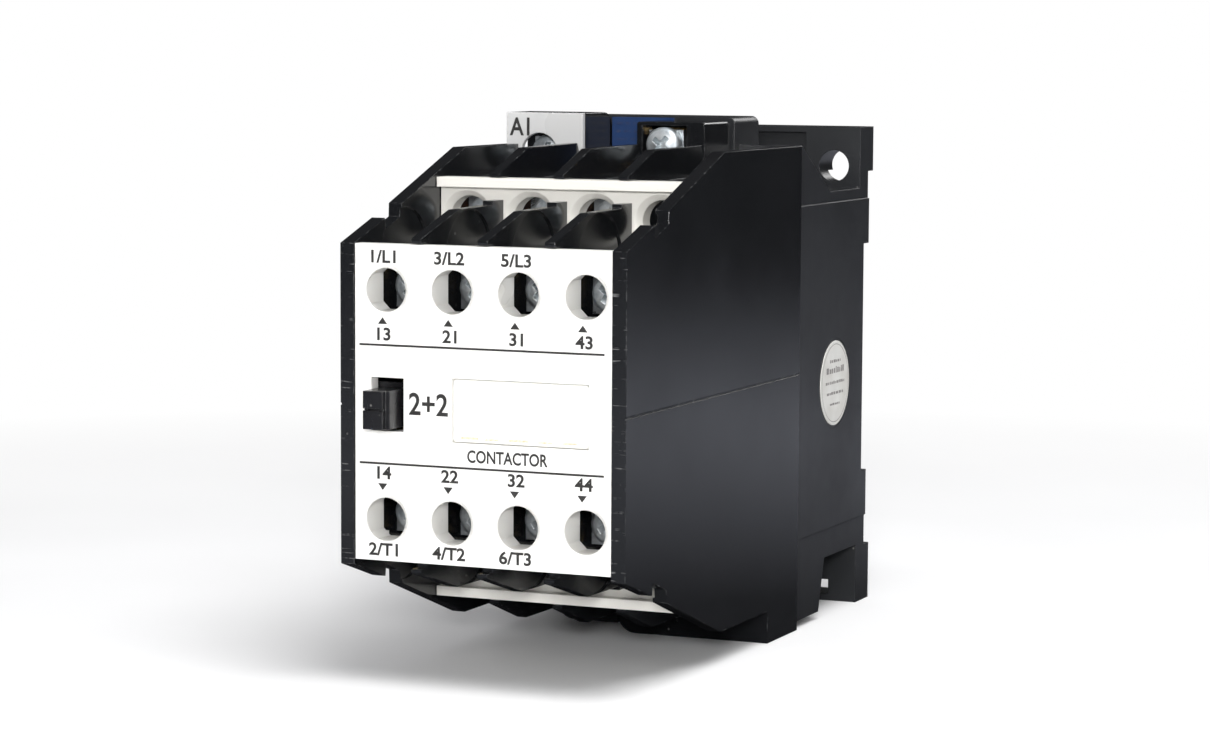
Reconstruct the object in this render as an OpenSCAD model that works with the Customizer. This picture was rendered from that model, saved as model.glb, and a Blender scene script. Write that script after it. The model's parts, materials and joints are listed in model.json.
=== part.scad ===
// Two-tier control contactor: three main poles, four auxiliary contacts, an E-core magnet
// and a base that snaps on a 35 mm rail or takes two screws.
// X runs across the poles, Y runs from the front (negative) to the rear, and Z runs up.
// The origin is where the middle of the rail's face seats in the recess of the base.

/* [Poles] */
// Distance from one pole to the next
pole_pitch = 10.5; // [9.5:0.1:14]
// Thickness of the barriers between poles
barrier_t = 1.6; // [1:0.1:2.4]
// Thickness of the outer side walls
side_wall = 2.2; // [1.8:0.1:3]

/* [Housings] */
// Depth of the base, from the rear plane to the housing joint
base_depth = 36; // [34:0.5:46]
// Least depth of the front housing behind its divider
magnet_room = 14.2; // [12:0.1:20]
// Half the height of the front cover
cover_half = 23; // [22.6:0.1:26]
// Half the height over the side walls
wall_half = 36.2; // [35.8:0.1:44]
// Half the overall height at the base
base_half = 41.3; // [40.5:0.1:50]
// Thickness of the moulded inner walls
inner_wall = 2; // [1.4:0.1:2.4]
// Thickness of the white covers
cover_t = 2.2; // [1.6:0.1:2.6]
// Air left around each cover and each loose piece
fit_gap = 0.1; // [0.05:0.01:0.2]

/* [Terminals] */
// Radius of the screwdriver holes in the covers
access_r = 3.2; // [3:0.1:3.5]
// Radius of the terminal screw heads
head_r = 2.9; // [2.4:0.1:3]
// Height of the terminal screw heads
head_h = 2.4; // [1.8:0.1:2.8]
// Radius of the terminal screw threads
thread_r = 1.7; // [1.4:0.05:2]
// Height of the auxiliary screws above the centre line
aux_screw_z = 16.7; // [16:0.1:18]
// Height of the main screws above the centre line
main_screw_z = 26; // [25.4:0.1:28]
// Thickness of the clamping plates
clamp_t = 1.2; // [0.8:0.1:1.5]
// Open space for a wire under each clamping plate
wire_gap = 2.8; // [2.2:0.1:3.4]

/* [Contacts] */
// Travel of the contact carrier
travel = 5.5; // [4.5:0.1:6.6]
// Air gap of the open main contacts
main_gap = 3.5; // [2.8:0.1:4.2]
// Air gap of the open auxiliary contacts
no_gap = 3.5; // [2.8:0.1:4.2]
// Carrier travel before the closed auxiliary contacts open
nc_lag = 1.5; // [1:0.1:2]
// Thickness of the main contact strips
main_strip_t = 1.5; // [1:0.1:1.8]
// Thickness of the auxiliary contact strips
aux_strip_t = 1; // [0.7:0.1:1.2]
// Width of the main contact strips
main_strip_w = 7; // [6:0.1:7.4]
// Width of the auxiliary contact strips
aux_strip_w = 6; // [5:0.1:7]

/* [Magnet] */
// Stack thickness of the iron core
stack_t = 13; // [11:0.1:16]
// Width of the middle leg
leg_w = 13; // [11:0.5:14]
// Width of each outer leg
outer_leg_w = 6.5; // [5.5:0.5:7]
// Width of the winding window
window_w = 10; // [8.4:0.1:12.2]
// Thickness of the core's back bar
core_bar = 7; // [6:0.5:8]
// Length of the fixed core's legs
core_leg = 16; // [14:0.5:20]
// Length of the moving iron's legs
arm_leg = 6; // [5:0.5:8]
// Thickness of the moving iron's bar
arm_bar = 6; // [5:0.5:8]
// Air in front of the moving iron at rest
arm_air = 0.65; // [0.4:0.05:2]

/* [Mounting] */
// Radius of the two mounting holes
mount_r = 2.6; // [2.2:0.1:3]
// Distance between the mounting holes across the width
mount_dx = 35; // [30:0.5:36]
// Distance between the mounting holes up the height
mount_dz = 60; // [58:0.5:62]
// Height of the upper mounting hole above the centre line
mount_top_z = 32; // [31:0.1:34]
// Height of the rail recess
recess_h = 38.2; // [37.6:0.1:39]
// Depth of the rail recess
recess_d = 5; // [4.6:0.1:5.4]
// Travel of the rail latch
latch_travel = 3.2; // [2:0.1:3.6]

/* [Hidden] */
$fn = 48;
e = 0.01;            // how far a cutter runs past a face
touch = 0.05;        // air between faces that meet when a contact or the magnet closes

// Across the width
function pole_x(n) = (n - 2.5) * pole_pitch;
barriers_x = [-pole_pitch, 0, pole_pitch];
inner_half = 2 * pole_pitch - barrier_t / 2 + fit_gap;
body_half = inner_half + side_wall;
cover_x = inner_half - fit_gap;
chamber_w = pole_pitch - barrier_t;
socket_r = access_r + 0.9;          // collar behind each screwdriver hole

// Levels from the rear pads forward
rear_y = recess_d;
joint_y = rear_y - base_depth;
core_floor = 4;                     // plastic between the core and the rail recess
magnet_stack = core_bar + core_leg + travel + touch + arm_leg + arm_bar;
divider_y = min(joint_y - magnet_room, -core_floor - magnet_stack - arm_air);
main_depth = 16.3;                  // from the divider to the main contact strips
tier_depth = 12;                    // from the main contact strips to the face of the rear tier
tier_step = 25;                     // from the main to the auxiliary contact strips
aux_depth = 15.3;                   // from the auxiliary contact strips to the front face
main_strip_y = divider_y - main_depth;
tier_face_y = main_strip_y - tier_depth;
aux_strip_y = main_strip_y - tier_step;
cover_face_y = aux_strip_y - aux_depth;
front_y = cover_face_y - 0.2;
cover_back_y = cover_face_y + cover_t;
mid_wall_y = tier_face_y - 4;

// Flange and rail recess
flange_t = 6.5;
flange_y = rear_y - flange_t;
step_y = rear_y - 2.5;
rail_half = recess_h / 2;
pad_top_z = 31.1;
pad_low_z = 31.9;
flange_top = base_half - 2.8;
mount_low_z = mount_top_z - mount_dz;
latch_half = 9;
latch_floor_y = rear_y - 5.2;
latch_lip_y = rear_y - 3.8;
latch_peg_z = [-36.2, -34.8];
latch_window_z = [-36.3, -29];

// Heights
shelf_z = 19.9;
shelf_t = 1.3;
deck_z = wall_half - 5.8;
deck_t = 1.5;
deck_top = deck_z + deck_t;
lip_z = 32;
lip_t = 1.5;
partition_z = 10;
partition_t = 1.2;
carrier_half = 3.2;
carrier_slot = carrier_half + 0.4;
window_half = 3.9;

// Magnet
core_half = leg_w / 2 + window_w + outer_leg_w;
arm_front_y = divider_y + arm_air;
arm_face_y = arm_front_y + arm_bar + arm_leg;
core_face_y = arm_face_y + travel + touch;
core_back_y = core_face_y + core_leg + core_bar;
bobbin_gap = 0.3;
core_gap = 0.3;
bobbin_wall = 1;
bobbin_flange = 1.2;
bobbin_half = leg_w / 2 + window_w - bobbin_gap;
bobbin_back_y = core_back_y - core_bar - 0.4;
bobbin_front_y = core_face_y - arm_leg + 0.6;
wing_back_y = divider_y + 1.8;
cheek_t = 1.6;
cheek_gap = 0.2;
cheek_reach = 4.6;
return_spring_r = 2.6;
return_wire_r = 0.35;
spring_x = stack_t / 2 + cheek_gap + cheek_t + return_spring_r + 0.6;
wing_half = spring_x + return_spring_r + 0.9;
pin_r = 1.2;
pin_gap = 0.05;

// Contacts
tip_main_r = 2.2;
tip_main_t = 1.2;
tip_aux_r = 1.6;
tip_aux_t = 0.8;
bridge_main_t = 1.2;
bridge_aux_t = 0.8;
tip_main_z = 7.2;
tip_aux_z = 6.2;
main_seat_y = main_strip_y - tip_main_t - main_gap - tip_main_t;
no_seat_y = aux_strip_y - tip_aux_t - no_gap - tip_aux_t;
nc_seat_y = aux_strip_y + aux_strip_t + 2 * tip_aux_t + touch;
nc_window_y = nc_seat_y - nc_lag;
main_spring_end = main_seat_y - 8;
no_spring_end = cover_back_y + 1.7;
nc_spring_end = mid_wall_y - 0.4;

// Coil terminals
a1_x = 5.8 - body_half;
a1_z = wall_half - 1.3;
a2_x = 4.4;
a2_z = wall_half + 0.2;
coil_screw_r = 2.8;
coil_strip_y = divider_y + 7.2;
coil_strip_t = 0.8;
coil_foot_z = core_half + 1.6;
ledge_z = coil_foot_z + 3.8;
lead_pad = 0.9;

// A sketch in Y and Z, pushed along X from x0 by t
module slab_x(x0, t) { translate([x0, 0, 0]) rotate([90, 0, 90]) linear_extrude(t) children(); }
// A sketch in X and Z, pushed forward from y0 by t
module slab_y(y0, t) { translate([0, y0, 0]) rotate([90, 0, 0]) linear_extrude(t) children(); }
// A block between two corners
module block(a, b) { translate(a) cube([b[0] - a[0], b[1] - a[1], b[2] - a[2]]); }
// A cylinder along Y from y0 to y1
module along_y(x, y0, y1, z, r1, r2 = undef) {
    translate([x, y0, z]) rotate([-90, 0, 0])
        cylinder(h = y1 - y0, r1 = r1, r2 = is_undef(r2) ? r1 : r2);
}
// The same thing above and below the centre line
module both_tiers() { children(); mirror([0, 0, 1]) children(); }
// A rectangle with round corners, each an exact arc
module round_rect(x0, z0, x1, z1, r) {
    translate([x0 + r, z0]) square([x1 - x0 - 2 * r, z1 - z0]);
    translate([x0, z0 + r]) square([x1 - x0, z1 - z0 - 2 * r]);
    for (x = [x0 + r, x1 - r], z = [z0 + r, z1 - r]) translate([x, z]) circle(r);
}
// A square with cut corners, centred, seen along Y
module eight_sided(half, corner) {
    k = half - corner;
    polygon([[half, -k], [half, k], [k, half], [-k, half], [-half, k], [-half, -k], [-k, -half], [k, -half]]);
}
// The points of an arc
function arc(c, r, a0, a1, n = 6) = [for (i = [0:n]) let(a = a0 + (a1 - a0) * i / n)
    [c[0] + r * cos(a), c[1] + r * sin(a)]];

// A coil spring along Y: y0 is its rear end, and its wire is a swept hexagon
spring_sides = 6;
spring_steps = 14;
module coil_spring(x, y0, y1, z, r, wire_r, turns) {
    rings = turns * spring_steps;
    rise = (y1 - y0 - 2 * wire_r) / rings;
    function ring_point(i, j) =
        let(a = 360 * i / spring_steps, b = 360 * j / spring_sides, q = r + wire_r * cos(b))
        [x + q * cos(a), y0 + wire_r + rise * i + wire_r * sin(b), z + q * sin(a)];
    points = [for (i = [0:rings], j = [0:spring_sides - 1]) ring_point(i, j)];
    sides = [for (i = [0:rings - 1], j = [0:spring_sides - 1]) let(k = (j + 1) % spring_sides)
        each [[i * spring_sides + j, (i + 1) * spring_sides + k, i * spring_sides + k],
              [i * spring_sides + j, (i + 1) * spring_sides + j, (i + 1) * spring_sides + k]]];
    ends = [[for (j = [0:spring_sides - 1]) j],
            [for (j = [spring_sides - 1:-1:0]) rings * spring_sides + j]];
    polyhedron(points, concat(sides, ends));
}

// ---- Housings ----

// Outline of a side wall of the front housing, upper half
wall_points = [
    [joint_y, 0], [joint_y, wall_half], [tier_face_y + 8.8, wall_half],
    [aux_strip_y, cover_half + 5.5], [aux_strip_y - 0.1, cover_half + 3.5],
    [front_y + 10.3, cover_half + 1.8],
    [front_y + 10, cover_half + 3.6], [front_y, cover_half + 0.4], [front_y, 0]
];
// Outline of a barrier between two poles, upper half
barrier_points = [
    [cover_back_y + fit_gap, carrier_slot], [cover_back_y + fit_gap, cover_half + 0.6],
    [front_y + 0.5, cover_half + 0.6], [front_y + 0.5, cover_half + 1.3], [front_y + 12.7, cover_half + 4.9],
    [mid_wall_y, cover_half + 5.1], [mid_wall_y, cover_half + 5.7], [tier_face_y - fit_gap, cover_half + 5.7],
    [tier_face_y - fit_gap, shelf_z + 0.6], [tier_face_y + cover_t - 0.1, shelf_z + 0.6],
    [tier_face_y + cover_t - 0.1, lip_z + fit_gap], [tier_face_y - lip_t, lip_z + fit_gap],
    [tier_face_y - lip_t, lip_z + 0.7], [tier_face_y + 8.7, wall_half + 0.1],
    [divider_y - 0.8, wall_half + 0.3],
    [divider_y, wall_half - 1.2], [divider_y, carrier_slot]
];
// Outline of the foot at the bottom of the front housing, across the width
foot_left = -3;
foot_step = -13.6;
foot_r = 3;
foot_points = concat(
    [[body_half, -deck_z], [body_half, -base_half]],
    arc([foot_left + foot_r, -base_half + foot_r], foot_r, -90, -180),
    [[foot_left, -base_half + foot_r]],
    [[foot_left, -base_half + 1.5]],
    arc([foot_step + foot_r, -base_half + 1.5 + foot_r], foot_r, -90, -180),
    [[foot_step, -deck_z]]);

// A shallow round dish that eases the way of a wire past a barrier
dish_r = 8.5;
dish_y = front_y + 16.6;
dish_z = cover_half - 3.6;
module dish(x) {
    translate([x, dish_y, dish_z]) rotate([0, 90, 0]) cylinder(h = 0.6, r = dish_r, center = true);
}

module front_housing_shell() {
    // side walls
    for (s = [0, 1]) mirror([s, 0, 0]) both_tiers() slab_x(inner_half, side_wall) polygon(wall_points);
    both_tiers() {
        // barriers
        for (x = barriers_x) slab_x(x - barrier_t / 2, barrier_t) polygon(barrier_points);
        // partition between terminals and contacts, front tier
        block([-inner_half - e, cover_back_y + fit_gap, partition_z],
              [inner_half + e, mid_wall_y + e, partition_z + partition_t]);
        // shelf under the rear tier
        block([-inner_half - e, aux_strip_y + aux_strip_t + 0.5, shelf_z],
              [inner_half + e, divider_y - e, shelf_z + shelf_t]);
        // wall between the tiers
        block([-inner_half - e, mid_wall_y, carrier_slot],
              [inner_half + e, mid_wall_y + inner_wall, shelf_z + shelf_t]);
        // floor behind the wire entries of the rear tier
        block([-inner_half - e, main_strip_y + main_strip_t + 1, lip_z - 1.8],
              [inner_half + e, divider_y - e, lip_z - 0.4]);
        // divider in front of the magnet
        block([-inner_half - e, divider_y - inner_wall, carrier_slot], [inner_half + e, divider_y, deck_top]);
        // deck over the magnet room
        block([-inner_half - e, divider_y - e, deck_z], [inner_half + e, joint_y, deck_top]);
    }
    // foot
    slab_y(joint_y, joint_y - divider_y - 0.7) polygon(foot_points);
    // bosses for the housing screws
    both_tiers() along_y(pole_x(4), divider_y - e, joint_y, main_screw_z, boss_r);
}

boss_r = 4.2;
case_screw_r = 1.55;
coil_slot = 3.4;
seam = 0.3;
module front_housing() color("#1d1f22") difference() {
    front_housing_shell();
    // room for the coil block on the upper left
    block([-body_half - e, divider_y - e, deck_top], [-inner_half + e, joint_y + e, wall_half + e]);
    // slots for the contact strips
    both_tiers() {
        for (n = [1:4]) block(
            [pole_x(n) - aux_strip_w / 2 - fit_gap, aux_strip_y - fit_gap, partition_z - 0.1],
            [pole_x(n) + aux_strip_w / 2 + fit_gap, aux_strip_y + aux_strip_t + fit_gap,
             partition_z + partition_t + 0.1]);
        for (n = [1:3]) block(
            [pole_x(n) - main_strip_w / 2 - fit_gap, main_strip_y - fit_gap, shelf_z - e],
            [pole_x(n) + main_strip_w / 2 + fit_gap, main_strip_y + main_strip_t + fit_gap,
             shelf_z + shelf_t + e]);
        // housing screw
        along_y(pole_x(4), divider_y - inner_wall - e, joint_y + e, main_screw_z, case_screw_r + 0.3);
        // dishes in the barriers and side walls
        for (x = barriers_x, s = [-1, 1]) dish(x + s * barrier_t / 2);
        for (s = [-1, 1]) dish(s * inner_half);
    }
    // openings in the upper deck for the coil terminals
    for (x = [a1_x, a2_x]) block(
        [x - coil_slot, coil_strip_y - 1, deck_z - e],
        [x + coil_slot, coil_strip_y + coil_strip_t + 1, deck_top + e]);
    // shallow joint line along both sides
    for (s = [-1, 1]) translate([s * body_half, (front_y + joint_y) / 2, 0])
        cube([seam, joint_y - front_y + 2 * e, seam], center = true);
}

// Outline of the base from the side
raised_back_y = joint_y + 8.6;
raised_x = 11.9;
raised_r = 1.2;
foot_back_y = joint_y + 13.7;
foot_low_z = base_half - 1.3;
channel_z = 31.5;
base_points = [
    [joint_y, wall_half], [joint_y + 1, wall_half], [joint_y + 14.7, ledge_z], [flange_y, ledge_z],
    [flange_y, flange_top], [rear_y, flange_top], [rear_y, pad_top_z], [step_y, pad_top_z],
    [step_y, rail_half], [0, rail_half], [0, -rail_half], [step_y, -rail_half],
    [step_y, -pad_low_z], [rear_y, -pad_low_z],
    [rear_y, -base_half], [flange_y, -base_half], [flange_y, -channel_z], [foot_back_y, -channel_z],
    [foot_back_y - 2.7, -foot_low_z], [joint_y, -foot_low_z]
];
base_x = body_half - 0.1;
side_step = 0.25;
side_label_y = rear_y - 18.9;
side_label_z = -3;
side_label_r = 7.3;

module base_shell() {
    slab_x(-base_x, 2 * base_x) polygon(base_points);
    // raised block behind the coil terminals, reaching over the deck of the front housing
    slab_y(raised_back_y, raised_back_y - joint_y)
        round_rect(-base_x + 1, ledge_z - 2, raised_x, base_half - 0.7, raised_r);
    slab_y(joint_y + e, 2 + e)
        round_rect(-base_x + 1, deck_top + fit_gap, raised_x, base_half - 0.7, raised_r);
    // fixed lip that grips behind the top edge of the rail
    block([-12, step_y - 1.4, rail_half - 2.6], [12, step_y, rail_half + e]);
    // locating tabs that enter the front housing
    for (s = [0, 1]) mirror([s, 0, 0]) both_tiers()
        block([inner_half - 1.6, joint_y - 4, 8], [inner_half - fit_gap, joint_y + e, 14]);
}

module latch_guide() difference() {
    union() {
        block([-latch_half - fit_gap, latch_lip_y, -base_half - e],
              [latch_half + fit_gap, rear_y + e, -rail_half + e]);
        block([-latch_half - 2, latch_floor_y, -base_half - e],
              [latch_half + 2, latch_lip_y + e, -rail_half - 4]);
    }
    // the peg under the latch spring is left standing
    block([-1.7, latch_floor_y - 1, latch_peg_z[0]], [1.7, step_y - 0.2, latch_peg_z[1]]);
}

coil_wall = 1.7;
coil_room_z = 22.4;
side_panel_z = [26.6, -26.8];
module base_housing() color("#26282b") difference() {
    base_shell();
    // the side panels above and below the middle one stand back a little
    for (s = [0, 1]) mirror([s, 0, 0]) {
        block([base_x - side_step, joint_y - e, side_panel_z[0]], [base_x + e, rear_y + e, base_half]);
        block([base_x - side_step, joint_y - e, -base_half - e], [base_x + e, rear_y + e, side_panel_z[1]]);
    }
    // coil room
    block([coil_wall - inner_half, joint_y - e, -coil_room_z],
          [inner_half - coil_wall, core_back_y - 0.6, ledge_z - 2]);
    // pocket for the left terminal strip, beside the coil room
    block([a1_x - coil_strip_half - core_gap, joint_y - e, coil_foot_z - core_gap],
          [a1_x, lead_y + 1.8, ledge_z - 2]);
    // core seat, wider in front for the shading rings
    block([-stack_t / 2 - core_gap, joint_y - 2.1, -core_half - core_gap],
          [stack_t / 2 + core_gap, core_back_y + damper_t, core_half + core_gap]);
    block([-ring_x - ring_t - core_gap, joint_y - e, -core_half - core_gap],
          [ring_x + ring_t + core_gap, ring_y[1] + 0.4, core_half + core_gap]);
    // hollow foot
    block([-10.5, joint_y - e, -foot_low_z + 2.2], [base_x - side_wall, joint_y + 9, -coil_foot_z]);
    block([-10.5, joint_y + 9 - e, -channel_z + 2.1], [base_x - side_wall, core_back_y, -coil_foot_z]);
    // access to the lower mounting screw from below
    block([-base_x - e, joint_y + 12, -channel_z - 0.1], [-12.6, flange_y, mount_low_z + 3.6]);
    // hollow raised block
    block([-base_x + 3, joint_y + 1.8, ledge_z - 2 - e],
          [raised_x - 1.9, raised_back_y - 2, base_half - 2.6]);
    // shallow window in the front of the flange
    block([-base_x + 1.2, flange_y - e, ledge_z + 0.8],
          [mount_dx / 2 - 5, flange_y + 1, flange_top - 1]);
    // mounting holes
    along_y(mount_dx / 2, flange_y - e, rear_y + e, mount_top_z, mount_r);
    along_y(-mount_dx / 2, flange_y - e, rear_y + e, mount_low_z, mount_r);
    // slot for the tip of a screwdriver beside the latch
    block([latch_half + 2.8, flange_y - e, -base_half + 1.1],
          [mount_dx / 2 - 0.2, rear_y + e, -base_half + 3.6]);
    latch_guide();
    // screw holes for the front housing
    both_tiers() along_y(pole_x(4), joint_y - e, joint_y + 9, main_screw_z, case_screw_r + 0.05);
    // shallow seat for the side label
    translate([base_x, side_label_y, side_label_z]) rotate([0, 90, 0])
        cylinder(h = 0.1, r = side_label_r + fit_gap, center = true);
}

// ---- White covers ----

funnel = 0.9;
module access_hole(x, face_y, z, back_y) {
    along_y(x, face_y - e, back_y + e, z, access_r);
    along_y(x, face_y - e, face_y + 1, z, access_r + funnel, access_r);
}

label_x = [-4.7, 16.75];
label_z = [-4.8, 4.45];
nose_x = [-16.95, -13.05];
nose_z = [-3.05, 2.5];
plate_seat = 0.9;
socket_depth = 4.4;
socket_lap = 0.8;       // how far the eight-sided passage reaches into the plate
socket_corner = 1.1;
snap_t = 0.8;
nose_gap = 0.65;

module front_cover() color("#f1efe9") difference() {
    union() {
        block([-cover_x, cover_face_y, -cover_half + 0.4], [cover_x, cover_back_y, cover_half + 0.4]);
        for (n = [1:4]) both_tiers() translate([pole_x(n), 0, aux_screw_z])
            slab_y(cover_back_y + socket_depth, socket_depth + e) eight_sided(socket_r, socket_corner);
        // snap legs
        for (s = [0, 1]) mirror([s, 0, 0]) both_tiers()
            block([cover_x - snap_t, cover_back_y - e, cover_half - 3.4],
                  [cover_x, cover_back_y + 7, cover_half - 0.6]);
    }
    for (n = [1:4]) both_tiers() {
        access_hole(pole_x(n), cover_face_y, aux_screw_z, cover_back_y);
        translate([pole_x(n), 0, aux_screw_z])
            slab_y(cover_back_y + socket_depth + e, socket_depth + socket_lap)
                eight_sided(access_r, socket_corner);
    }
    // opening for the position indicator, higher than the indicator
    block([nose_x[0] - nose_gap, cover_face_y - e, nose_z[0] - 0.6],
          [nose_x[1] + nose_gap, cover_back_y + e, nose_z[1] + 1.6]);
    // seat of the marking plate
    block([label_x[0], cover_face_y - e, label_z[0]], [label_x[1], cover_face_y + plate_seat, label_z[1]]);
}

module marking_plate() color("#f6f5f0") slab_y(cover_face_y + plate_seat, plate_seat - 0.2) round_rect(
    label_x[0] + fit_gap, label_z[0] + fit_gap, label_x[1] - fit_gap, label_z[1] - fit_gap, 0.6);

tier_back_y = tier_face_y + cover_t - 0.2;
tier_socket_y = tier_back_y + 1.8;
module tier_cover() difference() {
    union() {
        block([-cover_x, tier_face_y, shelf_z + shelf_t + 0.2], [cover_x, tier_back_y, lip_z]);
        block([-cover_x, tier_face_y - lip_t, lip_z - lip_t], [cover_x, tier_face_y + e, lip_z]);
        for (n = [1:4]) along_y(pole_x(n), tier_back_y - e, tier_socket_y, main_screw_z, socket_r - 0.1);
    }
    for (n = [1:4]) access_hole(pole_x(n), tier_face_y, main_screw_z, tier_socket_y);
}
module upper_tier_cover() color("#e9e6dc") tier_cover();
module lower_tier_cover() color("#e9e6dc") mirror([0, 0, 1]) tier_cover();

// ---- Moving carrier and armature ----

nose_face_y = cover_face_y - 4;
carrier_front_y = cover_back_y + 0.4;
shoulder_y = divider_y - 3.8;
fork_x = stack_t / 2 + cheek_gap;

module contact_carrier() color("#17181a") difference() {
    union() {
        block([-cover_x + 1, carrier_front_y, -carrier_half], [cover_x - 1, shoulder_y, carrier_half]);
        block([-wing_half, shoulder_y - e, -carrier_half], [wing_half, wing_back_y, carrier_half]);
        // fork for the armature
        for (s = [0, 1]) mirror([s, 0, 0])
            block([fork_x, wing_back_y - e, -carrier_half],
                  [fork_x + cheek_t, wing_back_y + cheek_reach, carrier_half]);
        // position indicator
        block([nose_x[0], nose_face_y, nose_z[0]], [nose_x[1], carrier_front_y + e, nose_z[1]]);
    }
    // windows for the bridges
    for (n = [1:3]) block(
        [pole_x(n) - window_half, main_spring_end, -carrier_half - e],
        [pole_x(n) + window_half, main_seat_y, carrier_half + e]);
    for (n = [1, 4]) block(
        [pole_x(n) - window_half, no_spring_end, -carrier_half - e],
        [pole_x(n) + window_half, no_seat_y, carrier_half + e]);
    for (n = [2, 3]) block(
        [pole_x(n) - window_half, nc_window_y, -carrier_half - e],
        [pole_x(n) + window_half, nc_spring_end, carrier_half + e]);
    // a groove across the indicator's face, and a step along its right edge
    block([nose_x[0] - e, nose_face_y - e, -0.35], [nose_x[1] + e, nose_face_y + 0.5, -0.05]);
    block([nose_x[1] - 0.7, nose_face_y - e, nose_z[0] - e],
          [nose_x[1] + e, nose_face_y + 0.9, nose_z[1] + e]);
    // room for the armature's bar, and its pin
    block([-fork_x, arm_front_y - 0.2, -carrier_half - e],
          [fork_x, wing_back_y + cheek_reach + 0.4, carrier_half + e]);
    pin_bore(2 * (fork_x + cheek_t) + 1);
}
// The bore that the armature's pin runs in
module pin_bore(length) translate([0, arm_front_y + arm_bar / 2, 0]) rotate([0, 90, 0])
    cylinder(h = length, r = pin_r + pin_gap, center = true);

// An E seen from the side, its legs pointing at y_face
module e_plate(y_bar, bar, leg, dir) {
    polygon([for (p = [
        [0, -core_half], [bar + leg, -core_half],
        [bar + leg, -core_half + outer_leg_w], [bar, -core_half + outer_leg_w],
        [bar, -leg_w / 2], [bar + leg, -leg_w / 2], [bar + leg, leg_w / 2], [bar, leg_w / 2],
        [bar, core_half - outer_leg_w], [bar + leg, core_half - outer_leg_w],
        [bar + leg, core_half], [0, core_half]])
        [y_bar + dir * p[0], p[1]]]);
}
module armature() color("#8d9196") difference() {
    slab_x(-stack_t / 2, stack_t) e_plate(arm_front_y, arm_bar, arm_leg, 1);
    pin_bore(stack_t + 2);
}
module armature_pin() color("#c5c8cc") translate([0, arm_front_y + arm_bar / 2, 0]) rotate([0, 90, 0])
    cylinder(h = 2 * (fork_x + cheek_t), r = pin_r, center = true);

// ---- Magnet and coil ----

ring_x = stack_t / 2 + 0.1;
ring_t = 1;
ring_y = [core_face_y + 0.6, core_face_y + 2.2];
ring_low_z = core_half - outer_leg_w / 2 - 0.5;
module fixed_core() color("#8d9196") difference() {
    slab_x(-stack_t / 2, stack_t) e_plate(core_back_y, core_bar, core_leg, -1);
    // grooves for the shading rings
    both_tiers() {
        block([-stack_t / 2 - e, core_face_y - e, ring_low_z - 0.1],
              [stack_t / 2 + e, ring_y[1] + 0.2, ring_low_z + 1.1]);
        block([-stack_t / 2 - e, ring_y[0] - 0.1, core_half - 0.6],
              [stack_t / 2 + e, ring_y[1] + 0.2, core_half + e]);
    }
}
module shading_rings() color("#b8733a") both_tiers() difference() {
    block([-ring_x - ring_t, ring_y[0], ring_low_z], [ring_x + ring_t, ring_y[1], core_half]);
    block([-ring_x, ring_y[0] - 0.1, ring_low_z + 1.1], [ring_x, ring_y[1] + 0.1, core_half - 0.6]);
}
damper_t = 0.8;
module core_damper() color("#3a3a3a") block([-stack_t / 2 + 0.5, core_back_y, -core_half + 1],
                                            [stack_t / 2 - 0.5, core_back_y + damper_t, core_half - 1]);

module ring_box(x, z, r, hole_x, hole_z, y0, y1) {
    difference() {
        slab_y(y1, y1 - y0) round_rect(-x, -z, x, z, r);
        block([-hole_x, y0 - e, -hole_z], [hole_x, y1 + e, hole_z]);
    }
}
tube_x = stack_t / 2 + bobbin_gap + bobbin_wall;
tube_z = leg_w / 2 + bobbin_gap + bobbin_wall;
module coil_bobbin() color("#e8dfc8") {
    hole_x = stack_t / 2 + bobbin_gap;
    hole_z = leg_w / 2 + bobbin_gap;
    ring_box(tube_x, tube_z, 0.9, hole_x, hole_z, bobbin_front_y, bobbin_back_y);
    ring_box(bobbin_half, bobbin_half, 1.5, hole_x, hole_z, bobbin_front_y, bobbin_front_y + bobbin_flange);
    ring_box(bobbin_half, bobbin_half, 1.5, hole_x, hole_z, bobbin_back_y - bobbin_flange, bobbin_back_y);
}
winding_half = bobbin_half - 1.4;
module coil_winding() color("#a8552a")
    ring_box(winding_half, winding_half, 3, tube_x + 0.05, tube_z + 0.05,
        bobbin_front_y + bobbin_flange + 0.1, bobbin_back_y - bobbin_flange - 0.1);

lead_y = bobbin_front_y + 2.6;
a1_lead_x = -winding_half + 3.2;
a2_lead_x = stack_t / 2 + 2.6;
module coil_leads() color("#a8552a") for (x = [a1_lead_x, a2_lead_x])
    translate([x, lead_y, winding_half]) cylinder(h = coil_foot_z - winding_half, r = 0.45);

coil_strip_half = 2.6;
module coil_terminal(x, z, lead_x) difference() {
    union() {
        block([x - coil_strip_half, coil_strip_y, coil_foot_z],
              [x + coil_strip_half, coil_strip_y + coil_strip_t, z + coil_strip_half]);
        block([min(x - coil_strip_half, lead_x - lead_pad), coil_strip_y, coil_foot_z],
              [max(x + coil_strip_half, lead_x + lead_pad), lead_y + 1.4, coil_foot_z + coil_strip_t]);
    }
    along_y(x, coil_strip_y - e, coil_strip_y + coil_strip_t + e, z, thread_r + 0.05);
}
module coil_terminal_a1() color("#c9a45a") coil_terminal(a1_x, a1_z, a1_lead_x);
module coil_terminal_a2() color("#c9a45a") coil_terminal(a2_x, a2_z, a2_lead_x);

coil_head_y = divider_y - 0.2;
a1_head_y = coil_head_y + 2.8;
a2_head_y = coil_head_y - 0.5;
a1_block_z = base_half - 0.1;
a1_block_w = 13.3;
a1_cover_t = 1.1;
coil_room_y = coil_strip_y + coil_strip_t + 0.1;
block_foot_z = deck_top + fit_gap;
block_back_y = joint_y - 2.1;
module coil_screw_hole(x, z) along_y(x, coil_strip_y, divider_y + 11, z, thread_r + 0.2);

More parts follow.
